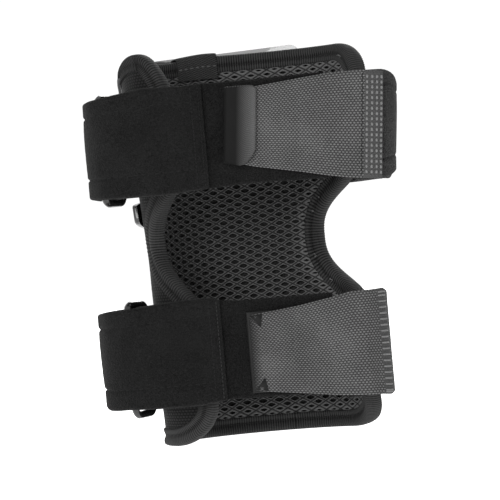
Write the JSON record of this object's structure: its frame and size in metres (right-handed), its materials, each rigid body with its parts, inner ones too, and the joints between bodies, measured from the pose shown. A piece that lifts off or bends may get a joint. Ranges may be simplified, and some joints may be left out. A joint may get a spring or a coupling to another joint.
{
  "type": "wrist guard",
  "caption": "Padded wrist guard: an open-front mesh-lined sleeve with a thumb notch, a hard palm shell on the back and two hook-and-loop straps drawn through plastic rings.",
  "frame": {"origin": "centre of the bounding box in plan, at the wrist end's edge", "axes": "+Z from the wrist end to the hand end, -Y out of the opening that the straps close, +Y out of the palm shell, +X to the thumb notch's side"},
  "size_m": [0.124, 0.0716, 0.159],
  "materials": {
    "cover": "matte woven nylon",
    "liner": "air mesh",
    "foam": "soft open-cell padding",
    "binding": "ribbed tape",
    "strap": "brushed, matte",
    "loop": "brushed loop pile",
    "hook_tape": "woven, matte",
    "shell": "glossy",
    "ring": "glossy",
    "rivet": "satin"
  },
  "bodies": {
    "sleeve_back": {"back_liner": "liner", "back_foam": "foam", "back_cover": "cover", "hand_end_binding": "binding", "wrist_end_binding": "binding", "notch_binding": "binding", "edge_tab": "binding", "palm_shell": "shell", "rivet_1": "rivet", "rivet_2": "rivet", "rivet_3": "rivet", "rivet_4": "rivet", "rivet_5": "rivet", "rivet_6": "rivet", "upper_ring_anchor": "strap", "lower_ring_anchor": "strap", "upper_strap_base": "strap", "lower_strap_base": "strap"},
    "left_flap": {"left_flap_liner": "liner", "left_flap_foam": "foam", "left_flap_cover": "cover", "left_flap_binding": "binding"},
    "hand_end_flap": {"hand_end_flap_liner": "liner", "hand_end_flap_foam": "foam", "hand_end_flap_cover": "cover", "hand_end_flap_binding": "binding"},
    "wrist_end_flap": {"wrist_end_flap_liner": "liner", "wrist_end_flap_foam": "foam", "wrist_end_flap_cover": "cover", "wrist_end_flap_binding": "binding"},
    "upper_ring": {"upper_ring": "ring"},
    "upper_loop_strap": {"upper_padded_loop": "strap", "upper_loop_band": "loop"},
    "upper_hook_strap": {"upper_strap_end": "strap", "upper_hook_tape": "hook_tape", "upper_pull_tab": "hook_tape"},
    "lower_ring": {"lower_ring": "ring"},
    "lower_loop_strap": {"lower_padded_loop": "strap", "lower_loop_band": "loop"},
    "lower_hook_strap": {"lower_strap_end": "strap", "lower_hook_tape": "hook_tape", "lower_pull_tab": "hook_tape"}
  },
  "joints": [
    {"name": "left_flap_flex", "type": "hinge", "parent": "sleeve_back", "child": "left_flap", "pos_m": [-0.03558, -0.0034, 0], "axis": [-0.0456, -0.0006, 0.999], "range_deg": [0, 12]},
    {"name": "hand_end_flap_flex", "type": "hinge", "parent": "sleeve_back", "child": "hand_end_flap", "pos_m": [0.03582, 0.015, 0.088], "axis": [0.067, 0.0179, 0.9976], "range_deg": [-12, 0]},
    {"name": "wrist_end_flap_flex", "type": "hinge", "parent": "sleeve_back", "child": "wrist_end_flap", "pos_m": [0.03472, 0.0147, 0], "axis": [0, 0, 1], "range_deg": [-12, 0]},
    {"name": "upper_strap_fold", "type": "hinge", "parent": "sleeve_back", "child": "upper_hook_strap", "pos_m": [0.06052, -0.0157, 0.119], "axis": [0, 0, 1], "range_deg": [0, 110]},
    {"name": "upper_ring_swing", "type": "hinge", "parent": "sleeve_back", "child": "upper_ring", "pos_m": [-0.04828, -0.0069, 0.119], "axis": [0, 0, 1], "range_deg": [-12, 0]},
    {"name": "upper_loop_swing", "type": "hinge", "parent": "upper_ring", "child": "upper_loop_strap", "pos_m": [-0.05488, -0.0192, 0.119], "axis": [0, 0, 1], "range_deg": [-29, 0]},
    {"name": "lower_strap_fold", "type": "hinge", "parent": "sleeve_back", "child": "lower_hook_strap", "pos_m": [0.05112, -0.0157, 0.0345], "axis": [0, 0, 1], "range_deg": [0, 110]},
    {"name": "lower_ring_swing", "type": "hinge", "parent": "sleeve_back", "child": "lower_ring", "pos_m": [-0.04358, -0.0069, 0.0345], "axis": [0, 0, 1], "range_deg": [-12, 0]},
    {"name": "lower_loop_swing", "type": "hinge", "parent": "lower_ring", "child": "lower_loop_strap", "pos_m": [-0.05008, -0.0199, 0.0345], "axis": [0, 0, 1], "range_deg": [-29, 0]}
  ],
  "couplings": [
    {"joint": "upper_ring_swing", "follows": "upper_strap_fold", "ratio": -0.1},
    {"joint": "upper_loop_swing", "follows": "upper_strap_fold", "ratio": -0.25},
    {"joint": "lower_ring_swing", "follows": "lower_strap_fold", "ratio": -0.1},
    {"joint": "lower_loop_swing", "follows": "lower_strap_fold", "ratio": -0.25}
  ]
}
